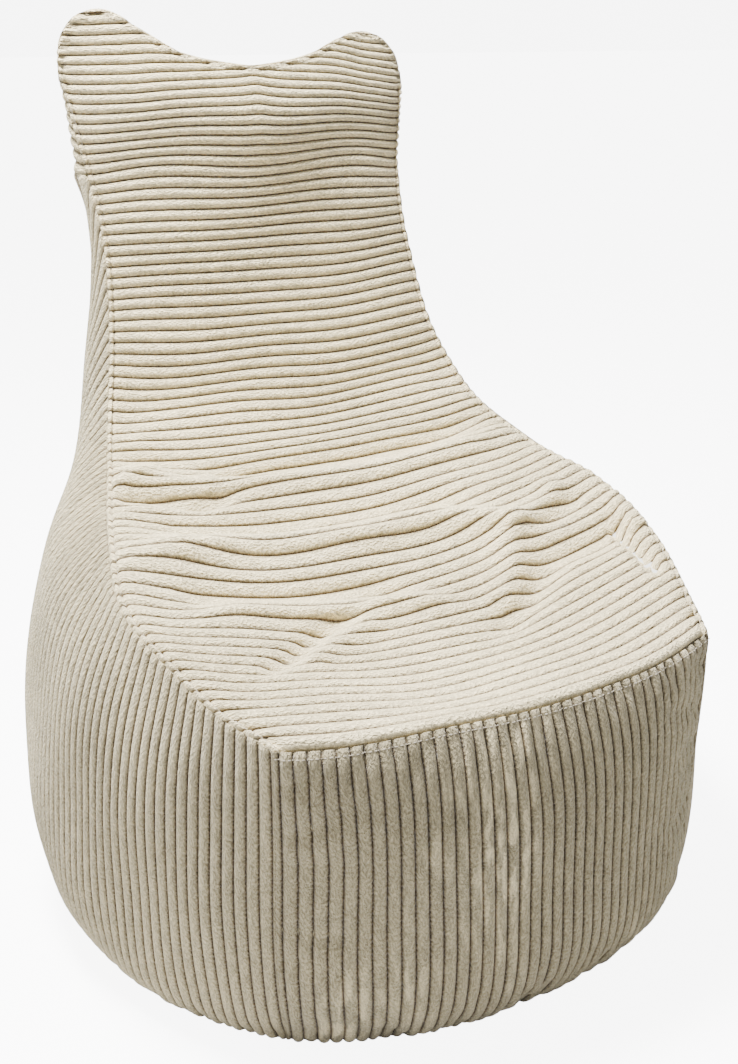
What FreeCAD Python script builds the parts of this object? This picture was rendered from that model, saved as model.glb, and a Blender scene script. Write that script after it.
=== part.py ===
"""Bean bag chair with a high back: a sewn corduroy cover with two soft ears, an inner
bag, a bead fill, and a child-safe zip across the base of the cover and of the bag.

Units are millimetres.  +Z is up, -Y is the front of the seat, +X the sitter's left,
and the origin is on the floor at the middle of the base.  The chair mirrors about X = 0.
"""
import FreeCAD, Part
import os
from math import atan2, cos, hypot, pi, radians, sin, tan
from FreeCAD import Vector

doc = FreeCAD.newDocument("BeanBagChair")

# ---------------------------------------------------------------- driving dimensions
SIZES = [
    # the front of the seat
    ("front_edge_height", 338.0, "floor to the front edge of the seat"),
    ("front_edge_reach", 316.0, "base middle to the front edge, at the middle"),
    ("front_belly_reach", 345.0, "base middle to the fullest point of the front panel"),
    ("front_foot_reach", 308.0, "base middle to the front of the base seam"),
    ("corner_half_width", 234.0, "middle to the front corner of the seat"),
    ("corner_reach", 276.0, "base middle back to front corner, along Y"),
    ("foot_half_width", 218.0, "middle to the foot of the front seam"),
    ("foot_reach", 248.0, "base middle to the foot of the front seam, along Y"),
    # the round body
    ("back_foot_reach", 322.0, "base middle to the back of the base seam"),
    ("back_belly_reach", 370.0, "base middle to the fullest point of the back"),
    ("belly_height", 160.0, "floor to the fullest part of the body"),
    # the seat and backrest
    ("seat_half_width", 298.0, "middle to the side seam, at the widest of the seat"),
    ("seat_widest_reach", -50.0, "base middle to the widest of the seat, along Y"),
    ("seat_side_rise", 64.0, "front edge up to the side seam there"),
    ("seat_dish_depth", 12.0, "front edge down to the lowest part of the seat"),
    ("waist_half_width", 190.0, "middle to the side seam, at the narrowest of the back"),
    ("waist_rise", 258.0, "side seam at the seat up to the narrowest of the back"),
    ("waist_reach", 266.0, "base middle to the side seam there"),
    ("yoke_rise", 85.0, "waist up to the seam under the head"),
    # the head
    ("dip_rise", 111.0, "seam under the head up to the dip between the ears"),
    ("ear_rise", 54.0, "dip to the top of an ear"),
    ("ear_middle", 152.0, "middle to the top of an ear"),
    ("head_half_width", 212.0, "middle to the outer side of an ear"),
    ("head_lean", 283.0, "base middle to the top seam at the dip"),
    ("head_depth", 110.0, "backrest to the back of the head"),
    # cloth, gaps and fill
    ("cover_cloth", 3.0, "corduroy with its pile"),
    ("bag_cloth", 1.0, "inner bag cloth"),
    ("layer_gap", 4.0, "space between the cover and the bag"),
    ("fill_gap", 6.0, "space between the bag and the bead fill"),
    ("seam_gap", 1.2, "gap between two panels at their seam"),
    # zips
    ("cover_zip_offset", 100.0, "base middle back to the zip in the cover"),
    ("cover_zip_length", 480.0, "tape of the zip in the cover"),
    ("bag_zip_offset", -60.0, "base middle back to the zip in the inner bag"),
    ("bag_zip_length", 400.0, "tape of the zip in the inner bag"),
    ("tape_width", 15.0, "one tape"),
    ("tape_cloth", 0.8, "tape thickness"),
    ("coil_width", 2.6, "one coil row"),
    ("coil_height", 2.2, "coil below its tape"),
    ("coil_gap", 1.6, "slit between the coil rows, where the slider's post runs"),
    ("slider_length", 12.0, "slider, along the zip"),
    ("slider_width", 9.6, "slider, across the zip"),
    ("slider_plate", 1.2, "one plate of the slider"),
    ("slider_post", 0.8, "post between the plates"),
    ("slider_clearance", 0.4, "slider to coil, and slider to tape"),
    ("stop_length", 4.0, "end stop, along the zip"),
    ("zip_slot", 26.0, "width of the recess in the base that the zip lies in"),
    ("zip_drop", 9.0, "depth of that recess, from the floor up to the tape"),
    # the label in the base
    ("label_width", 40.0, "blank care label"),
    ("label_length", 60.0, "label's free length"),
    ("label_cloth", 0.6, "label thickness"),
]

sheet = doc.addObject("Spreadsheet::Sheet", "Sizes")
for row, (alias, value, meaning) in enumerate(SIZES, start=1):
    sheet.set("A%d" % row, alias)
    sheet.set("B%d" % row, str(value))
    sheet.set("C%d" % row, meaning)
    sheet.setAlias("B%d" % row, alias)
doc.recompute()


def size(alias):
    return float(getattr(sheet, alias))


# ---------------------------------------------------------------- guide curves
def guide(points):
    """Smooth curve through points; guide(s) gives a point for s from 0 to 1."""
    line = Part.BSplineCurve()
    line.interpolate([Vector(*p) for p in points])
    first, last = line.FirstParameter, line.LastParameter
    return lambda s: line.value(first + (last - first) * s)


def profile(stations, values):
    """Smooth value that depends on height, clamped at both ends."""
    line = Part.BSplineCurve()
    line.interpolate([Vector(st, v, 0) for st, v in zip(stations, values)],
                     Parameters=[float(st) for st in stations])
    low, high = stations[0], stations[-1]
    return lambda st: line.value(min(max(st, low), high)).y


EDGE = size("front_edge_height")
CORNER = (size("corner_half_width"), -size("corner_reach"), EDGE)
SEAT_W = size("seat_half_width")
SEAT_Y = size("seat_widest_reach")
SEAT_H = EDGE + size("seat_side_rise")
WAIST_W = size("waist_half_width")
WAIST_H = SEAT_H + size("waist_rise")
WAIST_Y = size("waist_reach")
YOKE = WAIST_H + size("yoke_rise")
DIP = YOKE + size("dip_rise")
EAR_TOP = DIP + size("ear_rise")
EAR_X = size("ear_middle")
HEAD_W = size("head_half_width")
HEAD_Y = size("head_lean")


def between(low, high, share):
    return low + (high - low) * share


# the seam between the side and the seat: corner, hip, the turn into the back, waist, yoke
side_seam = guide([
    CORNER,
    (between(CORNER[0], SEAT_W, 0.5), between(CORNER[1], SEAT_Y, 0.31), between(EDGE, SEAT_H, 0.25)),
    (between(CORNER[0], SEAT_W, 0.9), between(CORNER[1], SEAT_Y, 0.7), between(EDGE, SEAT_H, 0.7)),
    (SEAT_W, SEAT_Y, SEAT_H),
    (between(SEAT_W, WAIST_W, 0.11), 4, between(SEAT_H, WAIST_H, 0.07)),
    (between(SEAT_W, WAIST_W, 0.37), 97, between(SEAT_H, WAIST_H, 0.15)),
    (between(SEAT_W, WAIST_W, 0.67), 180, between(SEAT_H, WAIST_H, 0.35)),
    (between(SEAT_W, WAIST_W, 0.87), 232, between(SEAT_H, WAIST_H, 0.63)),
    (WAIST_W, WAIST_Y, WAIST_H),
    (between(WAIST_W, HEAD_W, 0.2), WAIST_Y + 30, YOKE),
])

# the middle line of the seat and backrest, at the same stations as the side seam
DISH = EDGE - size("seat_dish_depth")
seat_middle = guide([
    (0, -size("front_edge_reach"), EDGE - 1),
    (0, -255, DISH),
    (0, -150, DISH + 2),
    (0, -80, DISH + 24),
    (0, 5, DISH + 64),
    (0, 95, SEAT_H + 20),
    (0, 175, between(SEAT_H, WAIST_H, 0.27)),
    (0, 225, between(SEAT_H, WAIST_H, 0.63)),
    (0, 253, between(WAIST_H, YOKE, 0.1)),
    (0, 264, YOKE + 6),
])

# the seam between the front and the side, from the base up to the corner
front_seam = guide([
    (size("foot_half_width"), -size("foot_reach"), 0),
    (between(size("foot_half_width"), CORNER[0], 0.64), -size("foot_reach") - 19, 45),
    (CORNER[0], CORNER[1] + 4, between(0, EDGE, 0.36)),
    (CORNER[0], CORNER[1] + 1, between(0, EDGE, 0.71)),
    CORNER,
])
front_middle = guide([
    (0, -size("front_foot_reach"), 0),
    (0, -between(size("front_foot_reach"), size("front_belly_reach"), 0.8), 45),
    (0, -size("front_belly_reach"), between(0, EDGE, 0.44)),
    (0, -between(size("front_belly_reach"), size("front_edge_reach"), 0.3), between(0, EDGE, 0.77)),
    (0, -size("front_edge_reach"), EDGE - 1),
])

# level sections from a side seam round to the middle of the back: one cubic curve each,
# with the direction it leaves the seam in and how full it is at its two ends, by height;
# a fullness of 1 is a round arc
BACK_FOOT = size("back_foot_reach")
BACK_BELLY = size("back_belly_reach")
BACK_TOP = WAIST_Y + size("head_depth")
HEIGHTS = [0, 50, size("belly_height"), 250, EDGE, SEAT_H, SEAT_H + 68, WAIST_H - 105, WAIST_H, YOKE]
leave = profile(HEIGHTS, [41, 41, 44, 50, 57, 66, 68, 66, 66, 66])
side_fullness = profile(HEIGHTS, [1.0, 1.03, 1.06, 1.08, 1.07, 1.2, 1.55, 1.65, 1.3, 1.1])
back_fullness = profile(HEIGHTS, [1.0, 1.03, 1.05, 1.05, 1.04, 1.12, 1.5, 1.8, 1.8, 1.8])
back_line = profile(HEIGHTS, [BACK_FOOT, BACK_BELLY - 18, BACK_BELLY, BACK_BELLY - 2, BACK_BELLY - 8,
                              BACK_BELLY - 13, BACK_BELLY - 16, BACK_BELLY - 14, BACK_TOP - 10, BACK_TOP])


def bisected(value, wanted, low=0.0, high=1.0):
    """Where a rising function reaches the wanted value."""
    for _ in range(40):
        middle = (low + high) / 2
        if value(middle) < wanted:
            low = middle
        else:
            high = middle
    return (low + high) / 2


def azimuth(point):
    """Angle round the body, from the front (0) through the side to the back (pi)."""
    return atan2(point.x, -point.y)


def level_section(z):
    """The level section at a height, as a function of the angle round the body."""
    seam = front_seam if z < EDGE else side_seam
    start = seam(bisected(lambda s: seam(s).z, z))
    turn = radians(leave(z))
    round_pull = 4 / 3 * tan((pi - azimuth(start)) / 4) * hypot(start.x, start.y)
    pull = side_fullness(z) * round_pull
    arc = Part.BezierCurve()
    arc.setPoles([start, start + Vector(cos(turn), sin(turn), 0) * pull,
                  Vector(back_fullness(z) * round_pull, back_line(z), start.z),
                  Vector(0, back_line(z), start.z)])
    return lambda angle: arc.value(bisected(lambda s: azimuth(arc.value(s)), angle))


# the top seam of the head, from the dip out over an ear to its outer side
top_seam = guide([
    (0, HEAD_Y, DIP),
    (0.47 * EAR_X, HEAD_Y + 15, between(DIP, EAR_TOP, 0.3)),
    (0.75 * EAR_X, HEAD_Y + 28, between(DIP, EAR_TOP, 0.7)),
    (EAR_X, HEAD_Y + 39, EAR_TOP),
    (between(EAR_X, HEAD_W, 0.6), HEAD_Y + 42, between(DIP, EAR_TOP, 0.8)),
    (between(EAR_X, HEAD_W, 0.93), HEAD_Y + 40, between(DIP, EAR_TOP, 0.25)),
    (HEAD_W, HEAD_Y + 36, DIP - 18),
])

# ---------------------------------------------------------------- the skin, as grids
# the front, sides and back are rows of upright lines; the seat and backrest are rows across;
# the steps are closest at the foot and at the hollow of the waist
UPRIGHT = [0, 0.06, 0.14, 0.26, 0.4, 0.55, 0.63, 0.7, 0.77, 0.85, 0.92, 1]
SEAT_ROWS = 16
HEAD_ROWS = 6
HALF_HEAD = 16
HALF_BACK = 12
FRONT_PUFF = 10.0
BACK_PUFF = 30.0
DISH_POWER = 2.3
BACK_SEAM_ANGLE = radians(157)


def mirrored(point):
    return Vector(-point.x, point.y, point.z)


def mirrored_line(points):
    return [mirrored(p) for p in points]


def bow(side, middle, across):
    """Point across a panel, from the seam through the middle line to the other seam."""
    curve = abs(across) ** DISH_POWER
    return Vector(side.x * across, between(middle.y, side.y, curve), between(middle.z, side.z, curve))


def rounded(share):
    return 4 * share * (1 - share)


def upright(angle, top):
    """Upright line on the side or back, at one angle, up to a top point."""
    return [level_section(top.z * rise)(angle) for rise in UPRIGHT[:-1]] + [top]


def top_point(across):
    point = top_seam(abs(across))
    return point if across >= 0 else mirrored(point)


def skin():
    """Outer skin of the chair: one grid of points for each panel."""
    spread = [i / HALF_HEAD - 1 for i in range(2 * HALF_HEAD + 1)]
    stations = [side_seam(i / SEAT_ROWS) for i in range(SEAT_ROWS + 1)]
    front = [[bow(front_seam(s), front_middle(s), a) for s in UPRIGHT] for a in spread]
    seat = [[bow(side_seam(i / SEAT_ROWS), seat_middle(i / SEAT_ROWS), a) for a in spread]
            for i in range(SEAT_ROWS + 1)]
    seat[0] = [line[-1] for line in front]

    side = [[front_seam(s) for s in UPRIGHT]]
    side += [upright(azimuth(top), top) for top in stations[1:]]
    yoke = level_section(YOKE)
    yoke_start = azimuth(stations[-1])
    turn = HALF_HEAD - HALF_BACK
    angles = [between(yoke_start, BACK_SEAM_ANGLE, (i + 1) / turn) for i in range(turn)]
    side += [upright(angle, yoke(angle)) for angle in angles]
    angles = [between(BACK_SEAM_ANGLE, pi, (i + 1) / HALF_BACK) for i in range(HALF_BACK)]
    back = [side[-1]] + [upright(angle, yoke(angle)) for angle in angles]
    back += [mirrored_line(line) for line in reversed(back[:-1])]

    # the head: both of its faces rise from the yoke height to the top seam
    behind = [line[-1] for line in side[SEAT_ROWS:]] + [line[-1] for line in back[1:HALF_BACK + 1]]
    behind = mirrored_line(behind) + list(reversed(behind[:-1]))
    head = []
    for a, low_front, low_back in zip(spread, list(seat[-1]), behind):
        top = top_point(a)
        line = []
        for k in range(HEAD_ROWS + 1):
            share = k / HEAD_ROWS
            swell = BACK_PUFF * rounded(share) * (1 - a ** 4)
            line.append(low_back * (1 - share) + top * share + Vector(0, swell, swell / 2))
        head.append(line)
    for k in range(1, HEAD_ROWS + 1):
        share = k / HEAD_ROWS
        swell = FRONT_PUFF * rounded(share)
        seat.append([low * (1 - share) + top_point(a) * share - Vector(0, swell * (1 - a ** 4), 0)
                     for a, low in zip(spread, seat[SEAT_ROWS])])
    return {"front": front, "seat_back": seat, "side_left": side,
            "side_right": [mirrored_line(line) for line in side],
            "back": back, "head_back": head}


# the way round that turns each grid's normal outwards
OUTWARD = {"front": 1, "seat_back": -1, "side_left": 1, "side_right": -1, "back": 1,
           "head_back": -1}


def normals(grid, sign):
    """Unit normals of a grid, from its neighbours on each side."""
    result = []
    last_row, last = len(grid) - 1, len(grid[0]) - 1
    for j, row in enumerate(grid):
        line = []
        for i in range(len(row)):
            across = row[min(i + 1, last)] - row[max(i - 1, 0)]
            along = grid[min(j + 1, last_row)][i] - grid[max(j - 1, 0)][i]
            line.append((along.cross(across) * sign).normalize())
        result.append(line)
    for j, near_j in ((0, 1), (-1, -2)):
        for i, near_i in ((0, 1), (-1, -2)):
            result[j][i] = result[near_j][near_i]
    return result


def key(point):
    return (round(point.x, 1), round(point.y, 1), round(point.z, 1))


def inset(grids, depth):
    """The skin moved inwards, mitred at the seams so that panels still meet there."""
    turned = {name: normals(grid, OUTWARD[name]) for name, grid in grids.items()}
    shared = {}
    for name, grid in grids.items():
        for row, facing in zip(grid, turned[name]):
            for point, normal in zip(row, facing):
                shared.setdefault(key(point), []).append(normal)
    result = {}
    for name, grid in grids.items():
        moved = []
        for row in grid:
            line = []
            for point in row:
                meeting = shared[key(point)]
                mean = Vector(0, 0, 0)
                for other in meeting:
                    mean = mean + other
                mean.normalize()
                lean = sum(mean.dot(other) for other in meeting) / len(meeting)
                line.append(point - mean * (depth / max(lean, 0.6)))
            moved.append(line)
        result[name] = moved
    # the body is level where it stands
    for name in ("front", "side_left", "side_right", "back"):
        for line, outer in zip(result[name], grids[name]):
            line[0] = Vector(line[0].x, line[0].y, outer[0].z)
    return result


def lifted(grids, floor):
    """The skin with its foot raised to a floor height; rows below it are squeezed up."""
    result = {}
    for name, grid in grids.items():
        result[name] = [[Vector(p.x, p.y, floor + p.z * (EDGE - floor) / EDGE) if p.z < EDGE else p
                         for p in row] for row in grid]
    return result


# ---------------------------------------------------------------- solids from grids
def row_edge(points):
    line = Part.BSplineCurve()
    line.interpolate(points, Parameters=[float(i) for i in range(len(points))])
    return line.toShape()


def strip_faces(grid):
    edges = [row_edge(row) for row in grid]
    return [Part.makeRuledSurface(low, high) for low, high in zip(edges, edges[1:])]


def pulled_in(grid, gap):
    """The grid with its border moved inwards along the cloth by a gap."""
    def nearer(point, other):
        return point + (other - point).normalize() * gap
    rows = [[nearer(row[0], row[1])] + row[1:-1] + [nearer(row[-1], row[-2])] for row in grid]
    first = [nearer(p, q) for p, q in zip(rows[0], rows[1])]
    last = [nearer(p, q) for p, q in zip(rows[-1], rows[-2])]
    return [first] + rows[1:-1] + [last]


def sewn(faces):
    shell = Part.makeShell(faces)
    shell.sewShape()
    solid = Part.makeSolid(shell)
    if solid.Volume < 0:
        solid.reverse()
    return solid


def panel_solid(outer, inner, gap):
    """A closed sheet of cloth between an outer and an inner grid."""
    outer, inner = pulled_in(outer, gap), pulled_in(inner, gap)
    faces = strip_faces(outer) + strip_faces(inner)
    for row in (0, -1):
        faces.append(Part.makeRuledSurface(row_edge(outer[row]), row_edge(inner[row])))
    for end in (0, -1):
        rungs = [Part.makeLine(o[end], i[end]) for o, i in zip(outer, inner)]
        faces += [Part.makeRuledSurface(low, high) for low, high in zip(rungs, rungs[1:])]
    return sewn(faces)


def add_feature(label, shape):
    feature = doc.addObject("Part::Feature", label)
    feature.Shape = shape
    feature.Placement = FreeCAD.Placement()
    feature.Label = label
    return feature


def bound(feature, **links):
    """Bind properties of a feature to formulas of the sheet's cells."""
    for name, formula in links.items():
        feature.setExpression(name.replace("_", "."), formula)
    return feature


# ---------------------------------------------------------------- the cover and the inner bag
COVER = size("cover_cloth")
BAG = size("bag_cloth")
LAYER = size("layer_gap")
HALF_SEAM = size("seam_gap") / 2
BAG_FLOOR = size("zip_drop") + LAYER
FILL_GAP = size("fill_gap")
FILL_FLOOR = BAG_FLOOR + BAG + FILL_GAP

cover_skin = skin()
bag_skin = lifted(inset(cover_skin, COVER + LAYER), BAG_FLOOR)
fill_skin = lifted(inset(cover_skin, COVER + LAYER + BAG + FILL_GAP), FILL_FLOOR)


def foot_ring(grids):
    """The closed line of points round the foot of a skin, in order, without repeats."""
    around = [line[0] for line in grids["front"]]
    around += [line[0] for line in grids["side_left"][1:]]
    around += [line[0] for line in grids["back"][1:]]
    around += [line[0] for line in reversed(grids["side_right"][1:-1])]
    return around


def base_half(ring, side, split, floor, cloth, prefix, web):
    """Half of a base panel, with a notch and an upright web round the zip."""
    rim = Part.BSplineCurve()
    rim.interpolate(ring, PeriodicFlag=True)
    disc = Part.Face(Part.Wire(rim.toShape())).extrude(Vector(0, 0, cloth))
    far = 2 * size("back_belly_reach")
    start = split + HALF_SEAM if side > 0 else split - HALF_SEAM - far
    half = disc.common(Part.makeBox(2 * far, far, cloth, Vector(-far, start, floor)))
    long = size(prefix + "_zip_length") + 2 * size("seam_gap")
    slot = size("zip_slot")
    half = half.cut(Part.makeBox(long, slot, 2 * cloth, Vector(-long / 2, split - slot / 2, floor - cloth / 2)))
    if web > cloth:
        near = split + slot / 2 if side > 0 else split - slot / 2 - cloth
        half = half.fuse(Part.makeBox(long, cloth, web, Vector(-long / 2, near, floor))).removeSplitter()
    return half


for layer, grids, depth, floor, split, web in (
        ("cover", cover_skin, COVER, 0.0, size("cover_zip_offset"), size("zip_drop")),
        ("bag", bag_skin, BAG, BAG_FLOOR, size("bag_zip_offset"), BAG)):
    inner = inset(grids, depth)
    for name in grids:
        add_feature("%s_%s" % (layer, name), panel_solid(grids[name], inner[name], HALF_SEAM))
    ring = foot_ring(inset(grids, depth + 2 * HALF_SEAM))
    for side, where in ((-1, "front"), (1, "rear")):
        add_feature("%s_base_%s" % (layer, where),
                    base_half(ring, side, split, floor, depth, layer, web))


# ---------------------------------------------------------------- the bead fill
def fill_solid(grids, floor):
    """The bead fill: a closed solid of small flat faces inside the bag."""
    faces = []

    def triangle(a, b, c):
        if min(a.distanceToPoint(b), b.distanceToPoint(c), c.distanceToPoint(a)) > 0.01:
            faces.append(Part.Face(Part.makePolygon([a, b, c, a])))

    for name, grid in grids.items():
        for low, high in zip(grid, grid[1:]):
            for a, b, c, d in zip(low, low[1:], high[1:], high):
                if name == "head_back":
                    # cut the other way, so that an ear's two corner triangles stay apart
                    a, b, c, d = b, c, d, a
                triangle(a, b, c)
                triangle(a, c, d)
    ring = foot_ring(grids)
    middle = Vector(0, 0, floor)
    for a, b in zip(ring, ring[1:] + ring[:1]):
        triangle(middle, a, b)
    return sewn(faces)


add_feature("bead_fill", fill_solid(fill_skin, FILL_FLOOR))


# ---------------------------------------------------------------- the two zips
def zip_box(label, length, width, height, x, y, z):
    """A block of a zip, every size and place a formula of the sheet's cells."""
    block = doc.addObject("Part::Box", label)
    block.Label = label
    bound(block, Length=length, Width=width, Height=height,
          Placement_Base_x=x, Placement_Base_y=y, Placement_Base_z=z)
    return block


def joined(label, pieces):
    fuse = doc.addObject("Part::MultiFuse", label)
    fuse.Label = label
    fuse.Shapes = pieces
    return fuse


def make_zip(prefix, middle_y, tape_z):
    """Two tapes, two coil rows, two end stops and a slider without a puller.

    The slider stands at the closed end, on the -X side, and travels towards +X.
    """
    run = "Sizes.%s_zip_length" % prefix
    half = "-%s / 2" % run
    slit = "Sizes.coil_gap / 2"
    coil_low = "%s - Sizes.coil_height" % tape_z
    for side, where in ((-1, "front"), (1, "rear")):
        tape_y = "%s + %s" % (middle_y, slit) if side > 0 else "%s - %s - Sizes.tape_width" % (middle_y, slit)
        coil_y = "%s + %s" % (middle_y, slit) if side > 0 else "%s - %s - Sizes.coil_width" % (middle_y, slit)
        zip_box("%s_zip_tape_%s" % (prefix, where), run, "Sizes.tape_width", "Sizes.tape_cloth",
                half, tape_y, tape_z)
        zip_box("%s_zip_coil_%s" % (prefix, where), "%s - 2 * Sizes.stop_length - 2" % run,
                "Sizes.coil_width", "Sizes.coil_height",
                "%s + Sizes.stop_length + 1" % half, coil_y, coil_low)
    for side, where in ((-1, "closed_end"), (1, "open_end")):
        start = half if side < 0 else "%s / 2 - Sizes.stop_length" % run
        zip_box("%s_zip_stop_%s" % (prefix, where), "Sizes.stop_length",
                "2 * Sizes.coil_width + Sizes.coil_gap", "Sizes.coil_height", start,
                "%s - %s - Sizes.coil_width" % (middle_y, slit), coil_low)
    rest_x = "%s + Sizes.stop_length + 3" % half
    low_z = "%s - Sizes.slider_clearance - Sizes.slider_plate" % coil_low
    high_z = "%s + Sizes.tape_cloth + Sizes.slider_clearance" % tape_z
    plate_y = "%s - Sizes.slider_width / 2" % middle_y
    plates = [zip_box("%s_slider_%s" % (prefix, name), "Sizes.slider_length", "Sizes.slider_width",
                      "Sizes.slider_plate", rest_x, plate_y, z)
              for name, z in (("lower_plate", low_z), ("upper_plate", high_z))]
    post = zip_box("%s_slider_post" % prefix, "Sizes.slider_length / 3", "Sizes.slider_post",
                   "%s - (%s)" % (high_z, low_z), rest_x,
                   "%s - Sizes.slider_post / 2" % middle_y, low_z)
    flanges = []
    for side in (-1, 1):
        y = plate_y if side < 0 else "%s + Sizes.slider_width / 2 - Sizes.slider_post" % middle_y
        flanges.append(zip_box("%s_slider_flange_%d" % (prefix, side + 1), "Sizes.slider_length",
                               "Sizes.slider_post", "Sizes.coil_height", rest_x, y, low_z))
    joined("%s_zip_slider" % prefix, plates + [post] + flanges)


make_zip("cover", "Sizes.cover_zip_offset", "Sizes.zip_drop")
make_zip("bag", "Sizes.bag_zip_offset", "Sizes.zip_drop + Sizes.layer_gap + Sizes.bag_cloth")

# ---------------------------------------------------------------- the care label
label = doc.addObject("Part::Box", "care_label")
bound(label, Length="Sizes.label_width", Width="Sizes.label_length", Height="Sizes.label_cloth",
      Placement_Base_x="Sizes.cover_zip_length / 4", Placement_Base_y="Sizes.cover_zip_offset + Sizes.zip_slot / 2 + Sizes.cover_cloth + 4",
      Placement_Base_z="Sizes.cover_cloth + 1")

# ---------------------------------------------------------------- check and write
doc.recompute()
inner_blocks = {block.Name for feature in doc.Objects if feature.TypeId == "Part::MultiFuse"
                for block in feature.Shapes}
nodes = [feature for feature in doc.Objects
         if feature.isDerivedFrom("Part::Feature") and feature.Name not in inner_blocks]
for feature in doc.Objects:
    if "Invalid" in feature.State or "Error" in feature.State:
        raise RuntimeError("%s did not build: %s" % (feature.Label, feature.State))
for feature in nodes:
    if feature.Shape.isNull() or not feature.Shape.isValid():
        raise RuntimeError("%s has no valid shape" % feature.Label)
    if not feature.Shape.Solids:
        raise RuntimeError("%s has no solid" % feature.Label)

os.makedirs("parts", exist_ok=True)
for feature in nodes:
    feature.Shape.exportStep("parts/%s.step" % feature.Label)
    print("%-28s %3d faces %10.0f mm3" % (feature.Label, len(feature.Shape.Faces), feature.Shape.Volume))
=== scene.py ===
"""Bean bag chair with a high back and two soft ears, in wide-wale corduroy.

Lengths are metres unless a name or a comment says millimetres.  -Y is the front of the
seat, +X the sitter's left, and the floor is at z = 0.
"""
import math

import bmesh
import bpy
import numpy as np
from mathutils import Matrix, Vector, bvhtree, kdtree


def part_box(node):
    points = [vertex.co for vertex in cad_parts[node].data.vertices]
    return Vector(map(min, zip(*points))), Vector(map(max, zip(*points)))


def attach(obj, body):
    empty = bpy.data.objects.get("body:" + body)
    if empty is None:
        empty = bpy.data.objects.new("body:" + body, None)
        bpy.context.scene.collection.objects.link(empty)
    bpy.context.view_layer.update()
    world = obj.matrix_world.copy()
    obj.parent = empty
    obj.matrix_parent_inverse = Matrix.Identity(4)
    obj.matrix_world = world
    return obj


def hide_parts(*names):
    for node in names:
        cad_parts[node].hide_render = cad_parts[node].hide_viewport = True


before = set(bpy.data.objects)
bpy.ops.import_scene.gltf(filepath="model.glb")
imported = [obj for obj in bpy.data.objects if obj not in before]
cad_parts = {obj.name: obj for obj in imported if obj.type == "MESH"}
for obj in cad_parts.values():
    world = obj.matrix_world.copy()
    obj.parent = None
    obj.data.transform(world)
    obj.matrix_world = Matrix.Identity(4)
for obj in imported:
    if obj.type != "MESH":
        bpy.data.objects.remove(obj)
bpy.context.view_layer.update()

# ================================================================ camera, floor and light
# The chair is seen from standing height, from the front and the sitter's right, on a
# plain white floor under a wide soft light; the front of the seat is in its own shade.
CAMERA_PLACE = (-0.5893, -1.1273, 0.8984)
CAMERA_DOWN = 21.65
CAMERA_TURN = 27.6
camera = bpy.data.objects.new("camera", bpy.data.cameras.new("camera"))
camera.data.lens = 43.2
camera.data.sensor_width = 36
camera.data.clip_start = 0.05
camera.location = CAMERA_PLACE
camera.rotation_euler = (math.radians(90 - CAMERA_DOWN), 0, -math.radians(CAMERA_TURN))
bpy.context.scene.collection.objects.link(camera)
bpy.context.scene.camera = camera


def add_mesh(name, points, faces):
    """A new mesh object at the origin, from points in metres and lists of corners."""
    mesh = bpy.data.meshes.new(name)
    mesh.from_pydata([tuple(p) for p in points], [], [tuple(f) for f in faces])
    mesh.update()
    thing = bpy.data.objects.new(name, mesh)
    bpy.context.scene.collection.objects.link(thing)
    return thing


def add_material(name, colour, roughness):
    """A material with a plain colour and roughness; returns it, its nodes, links and shader."""
    material = bpy.data.materials.new(name)
    material.use_nodes = True
    nodes = material.node_tree.nodes
    shader = nodes["Principled BSDF"]
    shader.inputs["Base Color"].default_value = (*colour, 1)
    shader.inputs["Roughness"].default_value = roughness
    return material, nodes, material.node_tree.links, shader


def add_relief(nodes, links, shader, height, distance, strength=1.0, sunk=False):
    """Fine relief on a material, from the socket that gives its height."""
    bump = nodes.new("ShaderNodeBump")
    bump.inputs["Strength"].default_value = strength
    bump.inputs["Distance"].default_value = distance
    bump.invert = sunk
    links.new(height, bump.inputs["Height"])
    links.new(bump.outputs["Normal"], shader.inputs["Normal"])


FLOOR_HALF = 40.0
FLOOR_Z = -0.0004
floor = add_mesh("floor", [(-FLOOR_HALF, -FLOOR_HALF, FLOOR_Z), (FLOOR_HALF, -FLOOR_HALF, FLOOR_Z),
                           (FLOOR_HALF, FLOOR_HALF, FLOOR_Z), (-FLOOR_HALF, FLOOR_HALF, FLOOR_Z)],
                 [(0, 1, 2, 3)])
paper, _, _, paper_shader = add_material("floor_paper", (0.7, 0.7, 0.7), 0.9)
paper_shader.inputs["Emission Color"].default_value = (1, 1, 1, 1)
paper_seen = paper.node_tree.nodes.new("ShaderNodeLightPath")
paper_glow = paper.node_tree.nodes.new("ShaderNodeMath")
paper_glow.operation = "MULTIPLY"
paper_glow.inputs[1].default_value = 7.5
paper.node_tree.links.new(paper_seen.outputs["Is Camera Ray"], paper_glow.inputs[0])
paper.node_tree.links.new(paper_glow.outputs[0], paper_shader.inputs["Emission Strength"])
floor.data.materials.append(paper)

world = bpy.data.worlds.new("studio")
world.use_nodes = True
world.node_tree.nodes["Background"].inputs["Color"].default_value = (1, 1, 1, 1)
world.node_tree.nodes["Background"].inputs["Strength"].default_value = 0.45
backdrop = world.node_tree.nodes.new("ShaderNodeBackground")
backdrop.inputs["Strength"].default_value = 9.0
seen = world.node_tree.nodes.new("ShaderNodeLightPath")
either = world.node_tree.nodes.new("ShaderNodeMixShader")
world.node_tree.links.new(seen.outputs["Is Camera Ray"], either.inputs["Fac"])
world.node_tree.links.new(world.node_tree.nodes["Background"].outputs[0], either.inputs[1])
world.node_tree.links.new(backdrop.outputs[0], either.inputs[2])
world.node_tree.links.new(either.outputs[0], world.node_tree.nodes["World Output"].inputs["Surface"])
bpy.context.scene.world = world


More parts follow.
